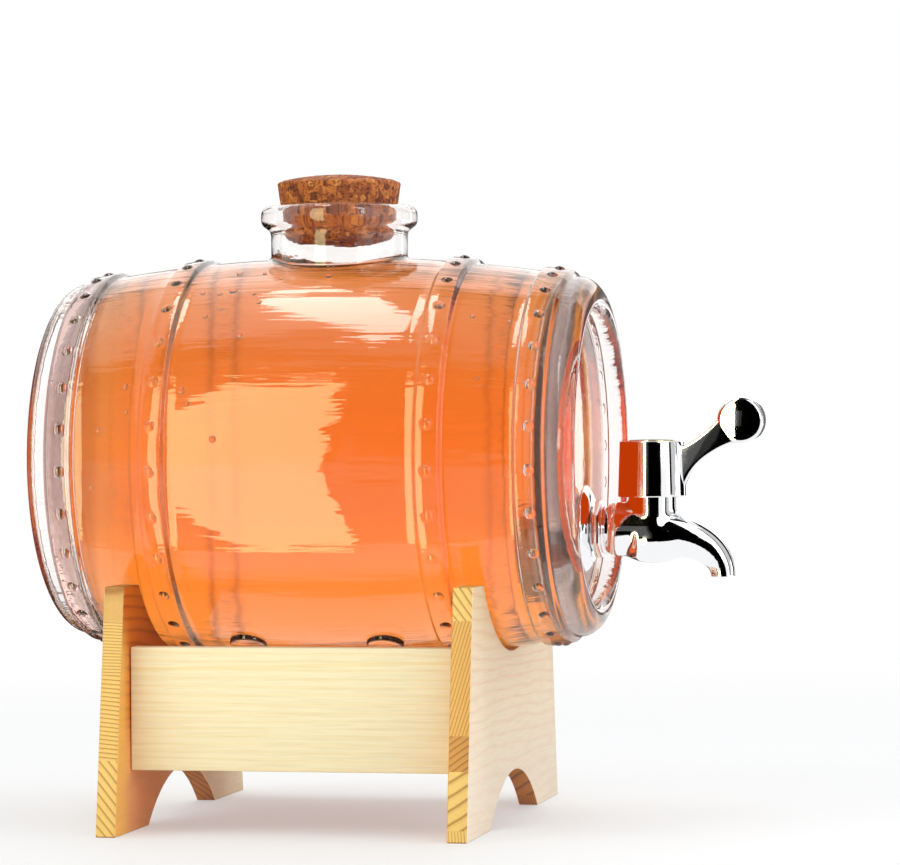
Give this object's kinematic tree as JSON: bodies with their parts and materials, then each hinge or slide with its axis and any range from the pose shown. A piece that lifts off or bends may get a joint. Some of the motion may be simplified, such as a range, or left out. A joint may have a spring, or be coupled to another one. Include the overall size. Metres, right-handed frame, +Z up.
{
  "type": "glass barrel drink dispenser",
  "caption": "Clear glass barrel drink dispenser lying in a pine stand, with a cork stopper in its neck and a chromed lever tap through its front head.",
  "frame": {"origin": "on the floor under the middle of the whole object's bounding box, on its plane of symmetry", "axes": "+X from the barrel's rear head towards the tap, +Z up, +Y to the barrel's left side"},
  "size_m": [0.267, 0.1776, 0.2431],
  "materials": {
    "pine": "planed and lightly oiled, grain along the board",
    "beech": "turned, bare",
    "clear_glass": "moulded, clear and polished",
    "cork": "agglomerated cork, sanded",
    "chrome": "mirror bright plating",
    "cap_chrome": "bright plating, slightly warm",
    "screw_steel": "zinc plated",
    "valve_brass": "turned",
    "silicone": "translucent white, matt",
    "nylon": "moulded, satin"
  },
  "bodies": {
    "stand": {"front_end_board": "pine", "rear_end_board": "pine", "left_stretcher": "pine", "right_stretcher": "pine", "dowel_1": "beech", "dowel_2": "beech", "dowel_3": "beech", "dowel_4": "beech", "dowel_5": "beech", "dowel_6": "beech", "dowel_7": "beech", "dowel_8": "beech"},
    "barrel": {"glass_barrel": "clear_glass", "tap_body": "chrome", "escutcheon": "chrome", "outer_washer": "silicone", "inner_washer": "silicone", "lock_nut": "nylon"},
    "stopper": {"cork_stopper": "cork"},
    "tap_lever": {"tap_handle": "chrome", "lever_knob": "chrome", "handle_cap": "cap_chrome", "handle_screw": "screw_steel", "valve_plug": "valve_brass", "lower_seal_ring": "silicone", "upper_seal_ring": "silicone"}
  },
  "joints": [
    {"name": "barrel_lift", "type": "slide", "parent": "stand", "child": "barrel", "axis": [0, 0, 1], "range_m": [0, 0.06]},
    {"name": "stopper_pull", "type": "slide", "parent": "barrel", "child": "stopper", "axis": [0, 0, 1], "range_m": [0, 0.035]},
    {"name": "lever_turn", "type": "hinge", "parent": "barrel", "child": "tap_lever", "pos_m": [0.09105, 0, 0.10852], "axis": [0, 0, 1], "range_deg": [0, 90]}
  ]
}
